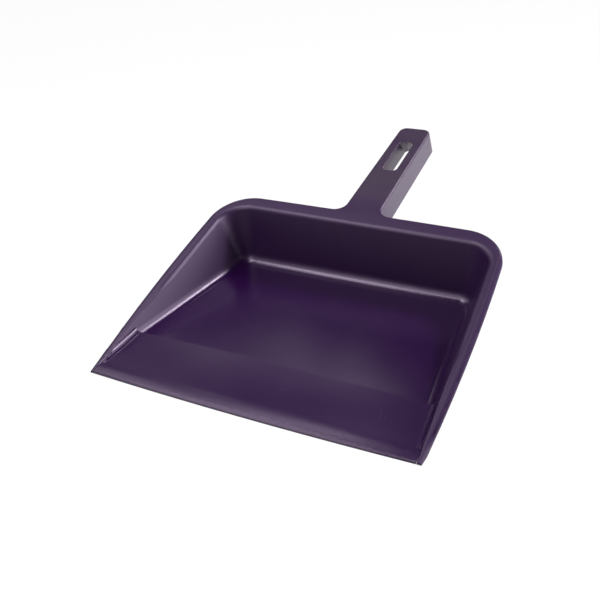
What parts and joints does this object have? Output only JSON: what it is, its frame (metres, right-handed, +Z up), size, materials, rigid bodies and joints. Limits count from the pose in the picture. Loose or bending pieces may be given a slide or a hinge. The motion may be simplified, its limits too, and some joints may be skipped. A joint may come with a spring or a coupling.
{
  "type": "dustpan",
  "caption": "Hand dustpan with a flat floor, sloping side walls, a wide rim, a ramped front lip and a tapered handle with a long hanging slot.",
  "frame": {"origin": "bottom centre of the whole dustpan, on the surface that it lies on", "axes": "+Z up, +Y from the lip toward the handle's end, +X to the right seen from the lip"},
  "size_m": [0.3158, 0.424, 0.0974],
  "materials": {
    "pan_plastic": "satin moulded plastic with a fine grain, purple-black",
    "rivet_plastic": "plain black moulded nylon",
    "screw_steel": "zinc-plated"
  },
  "bodies": {
    "root": {"pan_shell": "pan_plastic", "front_lip": "pan_plastic", "lip_rivets": "rivet_plastic", "handle_cover": "pan_plastic", "handle_screws": "screw_steel"}
  },
  "joints": []
}
